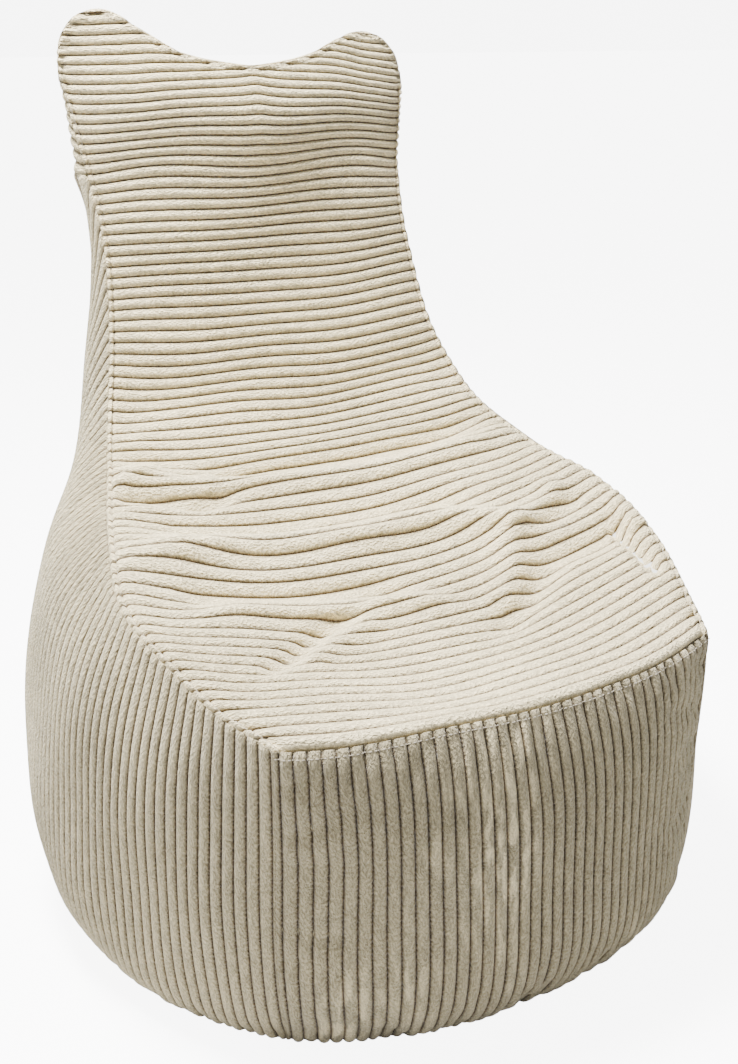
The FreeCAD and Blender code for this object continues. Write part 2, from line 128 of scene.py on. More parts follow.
def add_light(name, place, aim, width, watts):
    """A square soft box that points at a spot."""
    lamp = bpy.data.lights.new(name, "AREA")
    lamp.size = width
    lamp.energy = watts
    holder = bpy.data.objects.new(name, lamp)
    holder.location = place
    holder.rotation_euler = (Vector(aim) - Vector(place)).to_track_quat("-Z", "Y").to_euler()
    bpy.context.scene.collection.objects.link(holder)


add_light("overhead", (-0.45, 0.3, 2.35), (0, 0.0, 0.4), 0.55, 232)
add_light("left_window", (-2.6, 1.2, 1.6), (0, 0.1, 0.5), 1.4, 38)

# ================================================================ the shape of the cover
# The cover is six corduroy panels over a slack bag of beads. Its seams are curves in space;
# each panel is stretched between them, then settles as cloth, with the folds that sitting
# has pressed into the seat. Points of the guide curves are in millimetres.
EDGE_Z = 338
YOKE_Z = 745


def smooth_line(points, at=None):
    """Cubic spline through points; line(share) takes shares from 0 to 1 of its length, or
    values of at where those are given."""
    points = np.array(points, float)
    if at is None:
        at = np.concatenate([[0], np.cumsum(np.linalg.norm(np.diff(points, axis=0), axis=1))])
        at = at / at[-1]
    at = np.array(at, float)
    gap = np.diff(at)
    count = len(points)
    matrix = np.eye(count)
    right = np.zeros_like(points)
    for i in range(1, count - 1):
        matrix[i, i - 1:i + 2] = gap[i - 1], 2 * (gap[i - 1] + gap[i]), gap[i]
        right[i] = 6 * ((points[i + 1] - points[i]) / gap[i] - (points[i] - points[i - 1]) / gap[i - 1])
    bend = np.linalg.solve(matrix, right)

    def line(value):
        value = np.clip(np.asarray(value, float), at[0], at[-1])
        i = np.clip(np.searchsorted(at, value) - 1, 0, count - 2)
        step = gap[i][..., None]
        u = (value - at[i])[..., None]
        slope = (points[i + 1] - points[i]) / step - step * (2 * bend[i] + bend[i + 1]) / 6
        return points[i] + u * slope + u ** 2 * bend[i] / 2 + u ** 3 * (bend[i + 1] - bend[i]) / (6 * step)
    return line


side_seam = smooth_line([(234, -276, 338), (266, -206, 354), (292, -118, 383), (298, -50, 402),
                         (286, 4, 420), (258, 97, 441), (226, 180, 492), (204, 232, 565),
                         (190, 266, 660), (194.4, 296, YOKE_Z)])
seat_middle = smooth_line([(0, -316, 337), (0, -255, 326), (0, -150, 328), (0, -80, 350), (0, 5, 390),
                           (0, 95, 422), (0, 175, 472), (0, 225, 565), (0, 253, 668), (0, 264, 751)])
front_seam = smooth_line([(218, -248, 0), (228, -267, 45), (234, -272, 122), (234, -275, 240),
                          (234, -276, 338)])
front_middle = smooth_line([(0, -308, 0), (0, -338, 45), (0, -345, 149), (0, -336, 260), (0, -316, 337)])
top_seam = smooth_line([(0, 283, 856), (71, 298, 872), (114, 311, 894), (152, 322, 910),
                        (188, 325, 899), (208, 323, 870), (212, 319, 838)])

# the level outline of the body, from the side seam round to the middle of the back, by height
HEIGHTS = [0, 50, 160, 250, 338, 402, 470, 555, 660, 745]
outline_turn = smooth_line([[v] for v in (41, 41, 44, 50, 57, 66, 68, 66, 66, 66)], HEIGHTS)
outline_side = smooth_line([[v] for v in (1.0, 1.03, 1.06, 1.08, 1.07, 1.2, 1.55, 1.65, 1.3, 1.1)], HEIGHTS)
outline_back = smooth_line([[v] for v in (1.0, 1.03, 1.05, 1.05, 1.04, 1.12, 1.5, 1.8, 1.8, 1.8)], HEIGHTS)
outline_reach = smooth_line([[v] for v in (322, 352, 370, 368, 362, 357, 354, 356, 366, 376)], HEIGHTS)

# counts of the settling mesh: about 14 mm between its threads
SEAT_ROWS = 64
HEAD_ROWS = 12
UPRIGHT_STEPS = 30
HALF_ACROSS = 22
HALF_BACK = 16
BACK_SEAM_ANGLE = math.radians(157)
HEAD_FRONT_PUFF = 10
HEAD_BACK_PUFF = 30


def bow(side, middle, across):
    """Points across a panel, from the seam through the middle line to the other seam."""
    curve = np.abs(across)[..., None] ** 2.3
    point = middle * (1 - curve) + side * curve
    point[..., 0] = side[..., 0] * across
    return point


def outline_tables():
    """Level outlines at a fine set of heights, as (angles, x and y) for each height."""
    share = np.linspace(0, 1, 2001)
    low, high = front_seam(share), side_seam(share)
    tables = []
    heights = np.linspace(0, YOKE_Z, 120)
    for z in heights:
        seam = low if z < EDGE_Z else high
        start = np.array([np.interp(z, seam[:, 2], seam[:, 0]), np.interp(z, seam[:, 2], seam[:, 1])])
        turn = math.radians(outline_turn(z)[0])
        angle = math.atan2(start[0], -start[1])
        pull = 4 / 3 * math.tan((math.pi - angle) / 4) * math.hypot(*start)
        reach = outline_reach(z)[0]
        leaving = np.array([math.cos(turn), math.sin(turn)])
        poles = np.array([start, start + outline_side(z)[0] * pull * leaving,
                          (outline_back(z)[0] * pull, reach), (0, reach)])
        t = np.linspace(0, 1, 200)[:, None]
        arc = (1 - t) ** 3 * poles[0] + 3 * t * (1 - t) ** 2 * poles[1]
        arc = arc + 3 * t ** 2 * (1 - t) * poles[2] + t ** 3 * poles[3]
        tables.append((np.arctan2(arc[:, 0], -arc[:, 1]), arc))
    return heights, tables


outline_heights, outlines = outline_tables()


def upright(angle, top):
    """Upright line on the side or the back, at one angle round the body, up to a top point."""
    at_angle = np.array([[np.interp(angle, a, arc[:, 0]), np.interp(angle, a, arc[:, 1])]
                         for a, arc in outlines])
    share = np.linspace(0, 1, UPRIGHT_STEPS + 1)
    z = top[2] * share
    line = np.stack([np.interp(z, outline_heights, at_angle[:, 0]),
                     np.interp(z, outline_heights, at_angle[:, 1]), z], axis=1)
    line += (top - line[-1]) * (share ** 6)[:, None]
    return line


def cover_grids():
    """The smooth cover: one grid of points in millimetres for each panel."""
    across = np.linspace(-1, 1, 2 * HALF_ACROSS + 1)
    share = np.linspace(0, 1, SEAT_ROWS + 1)
    seam, middle = side_seam(share), seat_middle(share)
    seat = np.array([bow(np.tile(s, (len(across), 1)), np.tile(m, (len(across), 1)), across)
                     for s, m in zip(seam, middle)])
    rise = np.linspace(0, 1, UPRIGHT_STEPS + 1)
    edge, belly = front_seam(rise), front_middle(rise)
    front = np.array([bow(edge, belly, np.full(len(rise), a)) for a in across])
    front[:, -1] = seat[0]

    def angle_of(point):
        return math.atan2(point[0], -point[1])

    side = [front[-1]] + [upright(angle_of(p), p) for p in seam[1:]]
    yoke_angles, yoke = outlines[-1]

    def yoke_point(angle):
        x, y = (np.interp(angle, yoke_angles, yoke[:, axis]) for axis in (0, 1))
        return np.array([x, y, YOKE_Z])

    side_angles = np.linspace(angle_of(seam[-1]), BACK_SEAM_ANGLE, HALF_ACROSS - HALF_BACK + 1)[1:]
    side += [upright(angle, yoke_point(angle)) for angle in side_angles]
    back_angles = np.linspace(BACK_SEAM_ANGLE, math.pi, HALF_BACK + 1)
    back = [upright(angle, yoke_point(angle)) for angle in back_angles]
    side, back = np.array(side), np.array(back)
    back[0] = side[-1]
    flip = np.array([-1, 1, 1])
    back[-1, :, 0] = 0
    back = np.concatenate([back, back[-2::-1] * flip])

    behind = np.concatenate([side[SEAT_ROWS:, -1], back[1:HALF_BACK + 1, -1]])
    behind = np.concatenate([behind * flip, behind[-2::-1]])
    top = top_seam(np.abs(across))
    top[:, 0] *= np.sign(across)
    lift = np.linspace(0, 1, HEAD_ROWS + 1)[:, None, None]
    round_ears = (1 - across ** 4)[None, :, None]
    front_swell = np.sin(np.pi * lift) ** 2 * round_ears * np.array([0, -HEAD_FRONT_PUFF, 0])
    back_swell = 4 * lift * (1 - lift) * round_ears * np.array([0, HEAD_BACK_PUFF, HEAD_BACK_PUFF / 2])
    head_front = seat[-1][None] * (1 - lift) + top[None] * lift + front_swell
    head_back = behind[None] * (1 - lift) + top[None] * lift + back_swell
    return {"front": front, "seat_back": np.concatenate([seat, head_front[1:]]),
            "side_left": side, "side_right": side * flip, "back": back, "head_back": head_back}


# 1 where rows x columns turn the grid's normal outwards, -1 where they turn it inwards
OUTWARD = {"front": 1, "seat_back": -1, "side_left": 1, "side_right": -1, "back": 1, "head_back": 1}
grids = cover_grids()


def grid_normals(grid, sign):
    """Unit normals of a grid of points."""
    along = np.gradient(grid, axis=0)
    across = np.gradient(grid, axis=1)
    normal = np.cross(along, across) * sign
    return normal / np.maximum(np.linalg.norm(normal, axis=2, keepdims=True), 1e-9)


def cubic_weights(u):
    """Shares of four points in a row, for a place u of the way from the second to the third."""
    return ((-u ** 3 + 2 * u ** 2 - u) / 2, (3 * u ** 3 - 5 * u ** 2 + 2) / 2,
            (-3 * u ** 3 + 4 * u ** 2 + u) / 2, (u ** 3 - u ** 2) / 2)


def sample(grid, row, column):
    """Smooth values between the points of a grid, at rows and columns that may be fractions."""
    edged = np.pad(grid, ((1, 1), (1, 1), (0, 0)), mode="reflect", reflect_type="odd")
    i = np.clip(np.floor(row).astype(int), 0, grid.shape[0] - 2)
    j = np.clip(np.floor(column).astype(int), 0, grid.shape[1] - 2)
    result = 0
    for k, row_weight in enumerate(cubic_weights(row - i)):
        for m, column_weight in enumerate(cubic_weights(column - j)):
            result = result + (row_weight * column_weight)[..., None] * edged[i + k, j + m]
    return result


# how the cloth settles: a little more cloth than the shape needs, and the beads' push
SPARE_CLOTH = 0.024
BEAD_PUSH = 3.0
SETTLE_FRAMES = 16
MOST_MOVE = 0.0085


def settle(grids):
    """Settles all the panels together as one sewn cloth, held at its seams."""
    index, points, faces, held = {}, [], [], set()
    numbers = {}
    for name, grid in grids.items():
        ids = np.zeros(grid.shape[:2], int)
        for i in range(grid.shape[0]):
            for j in range(grid.shape[1]):
                spot = tuple(np.round(grid[i, j], 1) + 0.0)
                if spot not in index:
                    index[spot] = len(points)
                    points.append(grid[i, j] / 1000)
                ids[i, j] = index[spot]
        numbers[name] = ids
        held.update(ids[0].tolist() + ids[-1].tolist() + ids[:, 0].tolist() + ids[:, -1].tolist())
        quads = np.stack([ids[:-1, :-1], ids[1:, :-1], ids[1:, 1:], ids[:-1, 1:]], axis=2).reshape(-1, 4)
        if OUTWARD[name] < 0:
            quads = quads[:, ::-1]
        faces += [tuple(dict.fromkeys(q)) for q in quads.tolist() if len(set(q)) > 2]
    body = add_mesh("settling_cloth", points, faces)
    pins = body.vertex_groups.new(name="seams")
    pins.add(sorted(held), 1.0, "REPLACE")
    cloth = body.modifiers.new("cloth", "CLOTH")
    cloth.settings.quality = 6
    cloth.settings.mass = 0.25
    cloth.settings.tension_stiffness = 20
    cloth.settings.compression_stiffness = 20
    cloth.settings.shear_stiffness = 4
    cloth.settings.bending_stiffness = 0.4
    cloth.settings.use_pressure = True
    cloth.settings.uniform_pressure_force = BEAD_PUSH
    cloth.settings.shrink_min = -SPARE_CLOTH
    cloth.settings.vertex_group_mass = "seams"
    cloth.settings.effector_weights.gravity = 0.0
    cloth.point_cache.frame_end = SETTLE_FRAMES
    for f in range(1, SETTLE_FRAMES + 1):
        bpy.context.scene.frame_set(f)
    settled = body.evaluated_get(bpy.context.evaluated_depsgraph_get()).to_mesh()
    moved = np.zeros(len(points) * 3)
    settled.vertices.foreach_get("co", moved)
    moved = moved.reshape(-1, 3)
    start = np.array(points)
    shift = moved - start
    far = np.maximum(np.linalg.norm(shift, axis=1, keepdims=True), 1e-9)
    moved = (start + shift * (MOST_MOVE * np.tanh(far / MOST_MOVE) / far)) * 1000
    bpy.data.objects.remove(body)
    bpy.context.scene.frame_set(1)
    return {name: moved[numbers[name]] for name in grids}


def relax(grid, rounds, above=0.0):
    """The panel pulled smooth between its seams, above a height only."""
    grid = grid.copy()
    for _ in range(rounds):
        mean = (grid[:-2, 1:-1] + grid[2:, 1:-1] + grid[1:-1, :-2] + grid[1:-1, 2:]) / 4
        share = np.clip((mean[..., 2:] - above) / 60, 0, 1)
        grid[1:-1, 1:-1] += (mean - grid[1:-1, 1:-1]) * share * 0.9
    return grid


grids = settle(grids)
for name, rounds, above in (("side_left", 10, 20), ("side_right", 10, 20),
                            ("seat_back", 9, 470), ("head_back", 3, 600)):
    grids[name] = relax(grids[name], rounds, above)

# folds pressed into the seat: points of the crest or the hollow as seen from above, half
# width, and height, all in millimetres
SEAT_FOLDS = [
    ([(-235, 150), (-187, 133), (-105, 115), (9, 113), (124, 115), (228, 135)], 14, -7),
    ([(-235, 114), (-188, 108), (-131, 98), (-40, 86), (60, 84), (150, 88), (235, 98)], 16, 9),
    ([(-250, 44), (-150, 32), (-50, 30), (60, 28), (150, 10)], 20, -7),
    ([(-278, -14), (-213, -5), (-149, 2), (-80, 0), (-8, -6), (63, -2), (131, -26), (190, -66)], 16, 10),
    ([(-245, -58), (-137, -60), (-62, -64), (12, -76)], 16, -7),
    ([(-225, -84), (-137, -84), (-62, -90), (8, -100), (44, -114)], 14, 7),
    ([(-253, 103), (-208, 124), (-164, 126), (-122, 110)], 10, 6),
    ([(-254, 90), (-212, 87), (-169, 74), (-119, 84)], 10, -6),
    ([(-52, -92), (-113, -115), (-163, -152), (-196, -172)], 9, -6),
    ([(-42, -110), (-100, -132), (-152, -168)], 11, 4),
    ([(226, 8), (222, -18), (191, -35), (130, -52)], 16, 7),
    ([(256, -28), (215, -44), (165, -57)], 13, -5),
    ([(142, -48), (128, -84), (109, -115), (84, -140)], 20, 7),
    ([(268, -86), (222, -97), (182, -96), (140, -118), (100, -143), (56, -163)], 18, -8),
    ([(264, -76), (257, -112), (254, -142), (250, -178)], 6, -9),
    ([(290, -46), (288, -82), (280, -114)], 14, 9),
]
# slow waves of slack cloth: direction and rate, and push
WAVES = [((9.1, 3.2, 5.0), (0.5, 0.2, 0.6)), ((-4.0, 11.3, 6.1), (0.3, 0.6, 0.2)),
         ((6.5, -7.7, 12.4), (0.6, 0.5, 0.1)), ((17.0, 9.0, -13.0), (0.2, 0.3, 0.3)),
         ((-12.0, 19.0, 16.0), (0.25, 0.15, 0.3))]
WAVE_HEIGHT = 2.6
FINER = 4
FOLD_DEPTH = 1.5
FOLDLESS_MARGIN = 18
# how far the ears have slumped, up or down and outwards, in millimetres
LEFT_EAR_SINKS, LEFT_EAR_SPREADS = 18, 3
RIGHT_EAR_RISES, RIGHT_EAR_SPREADS = 6, 4


def fold_height(points):
    """Height of the folds at points of the seat, in millimetres."""
    height = np.zeros(points.shape[:2])
    for line, width, rise in SEAT_FOLDS:
        crest = smooth_line(line)(np.linspace(0, 1, 60))
        away = np.full(points.shape[:2], 1e9)
        where = np.zeros(points.shape[:2])
        for share, spot in zip(np.linspace(0, 1, 60), crest):
            distance = np.hypot(points[..., 0] - spot[0], points[..., 1] - spot[1])
            nearer = distance < away
            away[nearer] = distance[nearer]
            where[nearer] = share
        fade = np.clip(np.minimum(where, 1 - where) / 0.16 + 0.25, 0, 1)
        height += FOLD_DEPTH * rise * fade * np.exp(-(away / width) ** 2)
    return height


def border_distance(points, spots):
    """Distance from every point to the nearest of some spots."""
    tree = kdtree.KDTree(len(spots))
    for i, spot in enumerate(spots):
        tree.insert(spot, i)
    tree.balance()
    flat = points.reshape(-1, 3)
    return np.array([tree.find(p)[2] for p in flat]).reshape(points.shape[:2])


BORDER_SPOTS = 1100


def seam_spots(grid, sides="low high left right"):
    """Points about 1 mm apart along the borders of a grid."""
    rows, columns = grid.shape[0] - 1, grid.shape[1] - 1
    borders = {"low": (0, None), "high": (rows, None), "left": (None, 0), "right": (None, columns)}
    spots = []
    for side in sides.split():
        row, column = borders[side]
        fine = np.linspace(0, columns if column is None else rows, BORDER_SPOTS)
        if column is None:
            spots.append(sample(grid, np.full(BORDER_SPOTS, float(row)), fine))
        else:
            spots.append(sample(grid, fine, np.full(BORDER_SPOTS, float(column))))
    return np.concatenate(spots)


def finer(grid, name):
    """The panel on a finer grid, with its folds and the slow waves of slack cloth."""
    row, column = np.meshgrid(np.arange(0, grid.shape[0] - 1 + 1e-6, 1 / FINER),
                              np.arange(0, grid.shape[1] - 1 + 1e-6, 1 / FINER), indexing="ij")
    fine = sample(grid, row, column)
    wave = np.zeros_like(fine)
    for direction, push in WAVES:
        phase = fine @ np.array(direction) / 1000 * 2
        wave += np.sin(phase + 3 * direction[0])[..., None] * np.array(push)
    wave *= np.clip(fine[..., 2:] / 60, 0, 1) * WAVE_HEIGHT
    if name == "seat_back":
        calm = np.clip(border_distance(fine, seam_spots(grid)) / FOLDLESS_MARGIN, 0, 1)
        calm = calm ** 2 * (3 - 2 * calm)
        in_seat = np.clip((YOKE_Z - 200 - fine[..., 2]) / 60, 0, 1)
        fine = fine + grid_normals(fine, OUTWARD[name]) * (fold_height(fine) * calm * in_seat)[..., None]
    # the head slumps: the left ear has sunk, the right one stands up and out
    above = np.clip((fine[..., 2] - YOKE_Z) / 165, 0, 1) ** 1.5
    left = np.clip(fine[..., 0] / 150, 0, 1) * above
    right = np.clip(-fine[..., 0] / 150, 0, 1) * above
    wave[..., 2] += RIGHT_EAR_RISES * right - LEFT_EAR_SINKS * left
    wave[..., 0] += LEFT_EAR_SPREADS * left - RIGHT_EAR_SPREADS * right
    return fine + wave


shapes = {name: finer(grid, name) for name, grid in grids.items()}

# ================================================================ corduroy
# Wide-wale cotton corduroy, cream, with a brushed pile: round ridges 12 mm apart with a
# narrow groove between them, coloured dark as partly its ground weave and partly painted shade.
# It shows lighter and darker where the nap is brushed, and each panel's colour is darkened as
# painted shade for how it faces the light.
WALE = 12.0
GROOVE_DEPTH = 3.7
WALE_STEPS = [0, 0.03, 0.09, 0.18, 0.32, 0.5, 0.68, 0.82, 0.91, 0.97]
SEAM_STEPS = [0, 1.2, 2.6, 4.0, 5.3, 6.5, 7.7, 9.4, 12.0]
CLOTH_THICKNESS = 2.5
ON_SEAM = 0.3
SEAM_SEARCH = 2.5
PILE_LEVEL = 0.62


def wale_lines(length, start=0.0):
    """Places of the mesh lines across the wales, in millimetres."""
    count = int(length / WALE) + 2
    places = np.array([(k + t) * WALE for k in range(-1, count) for t in WALE_STEPS]) + start
    places = places[(places > 0.25) & (places < length - 0.25)]
    return np.concatenate([[0], places, [length]])


def ridge(place, start=0.0):
    """Height of the pile across a wale, 0 in the groove and 1 on the crest."""
    t = ((place - start) / WALE) % 1
    return np.maximum(1 - np.abs(2 * t - 1) ** 2.1, 0) ** 0.7


def grid_faces(grid, first, turned):
    """The four-cornered faces of a grid whose points are numbered from first."""
    number = np.arange(grid.shape[0] * grid.shape[1]).reshape(grid.shape[:2]) + first
    corners = [number[:-1, :-1], number[1:, :-1], number[1:, 1:], number[:-1, 1:]]
    faces = np.stack(corners, axis=2).reshape(-1, 4)
    return (faces[:, ::-1] if turned else faces).tolist()


def closed_cloth(name, outer, under, row_step, column_step, sign, cloth):
    """A closed panel: a fine face outside, a coarse one under it, joined round the border."""
    rows, columns = outer.shape[:2]
    keep_rows = sorted(set(range(0, rows - 1, row_step)) | {rows - 1})
    keep_columns = sorted(set(range(0, columns - 1, column_step)) | {columns - 1})
    fine = np.arange(rows * columns).reshape(rows, columns)
    inner = under[np.ix_(keep_rows, keep_columns)]
    coarse = np.arange(inner.shape[0] * inner.shape[1]).reshape(inner.shape[:2]) + rows * columns
    faces = grid_faces(outer, 0, False) + grid_faces(inner, rows * columns, True)

    def hem(fine_line, coarse_line, kept, turned):
        for k, (low, high) in enumerate(zip(kept, kept[1:])):
            for i in range(low, high):
                face = [fine_line[i], fine_line[i + 1], coarse_line[k]]
                faces.append(face[::-1] if turned else face)
            face = [fine_line[high], coarse_line[k + 1], coarse_line[k]]
            faces.append(face[::-1] if turned else face)

    hem(fine[0], coarse[0], keep_columns, False)
    hem(fine[-1], coarse[-1], keep_columns, True)
    hem(fine[:, 0], coarse[:, 0], keep_rows, True)
    hem(fine[:, -1], coarse[:, -1], keep_rows, False)
    if sign < 0:
        faces = [face[::-1] for face in faces]
    points = np.concatenate([outer.reshape(-1, 3), inner.reshape(-1, 3)]) / 1000
    piece = add_mesh(name, points.tolist(), faces)
    values = piece.data.attributes.new("cloth", "FLOAT_VECTOR", "POINT")
    whole = np.concatenate([cloth.reshape(-1, 3), cloth[np.ix_(keep_rows, keep_columns)].reshape(-1, 3)])
    values.data.foreach_set("vector", whole.astype(np.float32).ravel())
    shell = bmesh.new()
    shell.from_mesh(piece.data)
    bmesh.ops.remove_doubles(shell, verts=shell.verts, dist=0.00002)
    bmesh.ops.dissolve_degenerate(shell, edges=shell.edges, dist=0.00001)
    if shell.calc_volume(signed=True) < 0:
        bmesh.ops.reverse_faces(shell, faces=shell.faces)
    shell.to_mesh(piece.data)
    shell.free()
    piece.data.shade_smooth()
    return piece


def border_normals():
    """Normals at the seams, shared between the panels that meet there."""
    spots, facing = [], []
    for name, shape in shapes.items():
        normal = grid_normals(shape, OUTWARD[name])
        for line in (np.s_[0], np.s_[-1], np.s_[:, 0], np.s_[:, -1]):
            spots.append(shape[line])
            facing.append(normal[line])
    spots, facing = np.concatenate(spots), np.concatenate(facing)
    tree = kdtree.KDTree(len(spots))
    for i, spot in enumerate(spots):
        tree.insert(spot, i)
    tree.balance()
    return tree, facing


seam_tree, seam_facing = border_normals()


def corduroy_panel(name, row, column, across_wales, wale_start, stitched):
    """Raises the wales on a panel. row and column say where in the panel's shape each mesh
    point is; stitched names the borders that have a line of topstitching."""
    shape = shapes[name]
    base = sample(shape, row * FINER, column * FINER)
    normal = sample(grid_normals(shape, OUTWARD[name]), row * FINER, column * FINER)
    normal /= np.maximum(np.linalg.norm(normal, axis=2, keepdims=True), 1e-9)
    from_seam = border_distance(base, seam_spots(shape))
    # both panels of a seam face the same way along it, so that it closes
    for i, j in zip(*np.nonzero(from_seam < ON_SEAM)):
        near = [k for _, k, _ in seam_tree.find_range(base[i, j], SEAM_SEARCH)]
        if near:
            mean = seam_facing[near].mean(axis=0)
            normal[i, j] = mean / max(np.linalg.norm(mean), 0.2)
    from_stitch = border_distance(base, seam_spots(shape, stitched)) if stitched else from_seam + 100
    wander = 0.35 * np.sin(base @ np.array([0.021, 0.017, 0.026]))
    wander += 0.25 * np.sin(base @ np.array([-0.05, 0.043, 0.037]) + 2)
    pile = ridge(across_wales, wale_start)
    near = np.clip(from_seam / 3.5, 0, 1)
    strength = GROOVE_DEPTH * (0.45 + 0.55 * near * (2 - near))
    height = strength * (pile - PILE_LEVEL) + wander * 0.3
    height -= (2.6 if name == "seat_back" else 1.2) * np.exp(-(from_seam / 2.4) ** 2)
    height -= 2.6 * np.exp(-((from_stitch - 6.5) / 1.2) ** 2)
    height += 1.7 * np.exp(-((from_stitch - 3.6) / 1.6) ** 2)
    outer = base + normal * height[..., None]
    outer[..., 2] = np.maximum(outer[..., 2], 0.3)
    under = base - normal * (CLOTH_THICKNESS + 0.8 * np.clip(from_seam / 6, 0, 1))[..., None]
    under[..., 2] = np.maximum(under[..., 2], 0.3)
    # painted shade: the colour runs dark in the grooves, stays pale within 5 mm of a seam, and darkens in
    # the seam's crease and in the valley that the stitches pull
    shade = np.maximum(pile, PILE_LEVEL * np.clip(1 - from_seam / 5, 0, 1))
    shade *= 0.72 + 0.28 * np.clip(from_seam / 1.5, 0, 1)
    shade *= 1 - 0.4 * np.exp(-((from_stitch - 6.5) / 0.8) ** 2)
    return outer, under, shade


def put_cloth(across, along, shade, name):
    """Where each point is in the flat cloth, in metres, and its shade: how high in the pile it is, with
    painted shade in the seams and along the stitches.
    """
    offset = 1.7 * (1 + list(OUTWARD).index(name))
    return np.stack([across / 1000 + offset, along / 1000, shade], axis=-1)


def arc_lengths(points, axis):
    """Distance along the grid from its first line, at each point."""
    steps = np.linalg.norm(np.diff(points, axis=axis), axis=2)
    return np.concatenate([np.zeros_like(np.take(steps, [0], axis)), np.cumsum(steps, axis=axis)], axis=axis)


def make_seat_back():
    """Wales across; they stay level into the ears and the top seam cuts them."""
    grid = grids["seat_back"]
    middle = arc_lengths(grid, 0)[:, HALF_ACROSS]
    seat_length = middle[SEAT_ROWS]
    head = arc_lengths(grid[SEAT_ROWS:], 0)[-1]
    width = arc_lengths(grid, 1)[:, -1]
    tallest = seat_length + head.max()
    # the sat-on seat is stretched and the head is eased, so the ridges stand wider and closer
    stretch = smooth_line([[v] for v in (0, 40, 184, 328, 450, 706, 929)], (0, 60, 240, 420, 550, 810, 1000))
    on_chair = np.arange(0, 1000.0)
    in_cloth = stretch(on_chair)[:, 0]
    place = np.interp(wale_lines(np.interp(tallest, on_chair, in_cloth)), in_cloth, on_chair)
    share_rows = np.interp(place, middle[:SEAT_ROWS + 1], np.arange(SEAT_ROWS + 1))
    half = np.interp(share_rows, np.arange(SEAT_ROWS + 1), width[:SEAT_ROWS + 1]) / 2
    edge = np.array(SEAM_STEPS)
    inner_steps = np.linspace(-1, 1, 66)
    columns = []
    for w in half:
        x = np.concatenate([-w + edge, inner_steps[1:-1] * (w - edge[-1]), w - edge[::-1]])
        columns.append(x / w)
    across = np.array(columns)
    column = (across + 1) * HALF_ACROSS
    head_height = np.interp(column, np.arange(len(head)), head)
    above = np.clip(place[:, None] - seat_length, 0, None)
    row = share_rows[:, None] + HEAD_ROWS * np.clip(above / head_height, 0, 1)
    cut_place = np.minimum(place[:, None], seat_length + head_height)
    cut_place = np.interp(cut_place, on_chair, in_cloth)
    outer, under, shade = corduroy_panel("seat_back", row, column, cut_place, 0.0, "left right high")
    cloth = put_cloth(cut_place, across * half[:, None], shade, "seat_back")
    piece = closed_cloth("seat_and_backrest", outer, under, 5, 1, OUTWARD["seat_back"], cloth)
    return piece, outer


def make_upright(name, label, stitched, line_step=9.0):
    """Wales up and down; used for the front, the two sides and the back."""
    grid = grids[name]
    belly = grid.shape[1] // 2
    lengths = arc_lengths(grid, 0)
    round_length = lengths[-1, belly] if name != "front" else lengths[-1, -1]
    round_places = lengths[:, belly] if name != "front" else lengths[:, -1]
    place = wale_lines(round_length, start=0.5 * (round_length % WALE))
    line = np.interp(place, round_places, np.arange(grid.shape[0]))
    height = arc_lengths(grid, 1)[:, -1]
    line_count = max(int((height.max() - 2 * SEAM_STEPS[-1]) / line_step), 2)
    tall = np.interp(line, np.arange(len(height)), height)
    rows = []
    for high in tall:
        inner = np.linspace(SEAM_STEPS[-1], high - SEAM_STEPS[-1], line_count + 1)[1:-1]
        rows.append(np.concatenate([SEAM_STEPS, inner, high - np.array(SEAM_STEPS)[::-1]]) / high)
    share = np.array(rows)
    column = share * (grid.shape[1] - 1)
    row = np.tile(line[:, None], (1, column.shape[1]))
    across = np.tile(place[:, None], (1, column.shape[1]))
    outer, under, shade = corduroy_panel(name, row, column, across, 0.5 * (round_length % WALE),
                                         stitched)
    cloth = put_cloth(across, share * tall[:, None], shade, name)
    piece = closed_cloth(label, outer, under, 10, 2, OUTWARD[name], cloth)
    return piece, outer


def make_head_back():
    """Wales across, on the back of the head."""
    grid = grids["head_back"]
    height = arc_lengths(grid, 0)[-1]
    place = wale_lines(height.max())
    width = arc_lengths(grid, 1)[:, -1].max()
    column = np.linspace(0, grid.shape[1] - 1, 2 + int(width / 8))
    tall = np.interp(column, np.arange(len(height)), height)
    cut = np.minimum(place[:, None], tall[None])
    row = HEAD_ROWS * cut / tall[None]
    column = np.tile(column[None], (len(place), 1))
    outer, under, shade = corduroy_panel("head_back", row, column, cut, 0.0, "")
    cloth = put_cloth(cut, column * width / grid.shape[1], shade, "head_back")
    return closed_cloth("head_back", outer, under, 10, 2, OUTWARD["head_back"], cloth)


def cloth_group(name, inputs):
    """An empty shader group with named inputs, and a cloth's colour and relief coming out."""
    tree = bpy.data.node_groups.new(name, "ShaderNodeTree")
    for socket, kind, value in inputs:
        entry = tree.interface.new_socket(socket, in_out="INPUT", socket_type="NodeSocket" + kind)
        entry.default_value = value
    tree.interface.new_socket("Color", in_out="OUTPUT", socket_type="NodeSocketColor")
    tree.interface.new_socket("Height", in_out="OUTPUT", socket_type="NodeSocketFloat")
    return tree


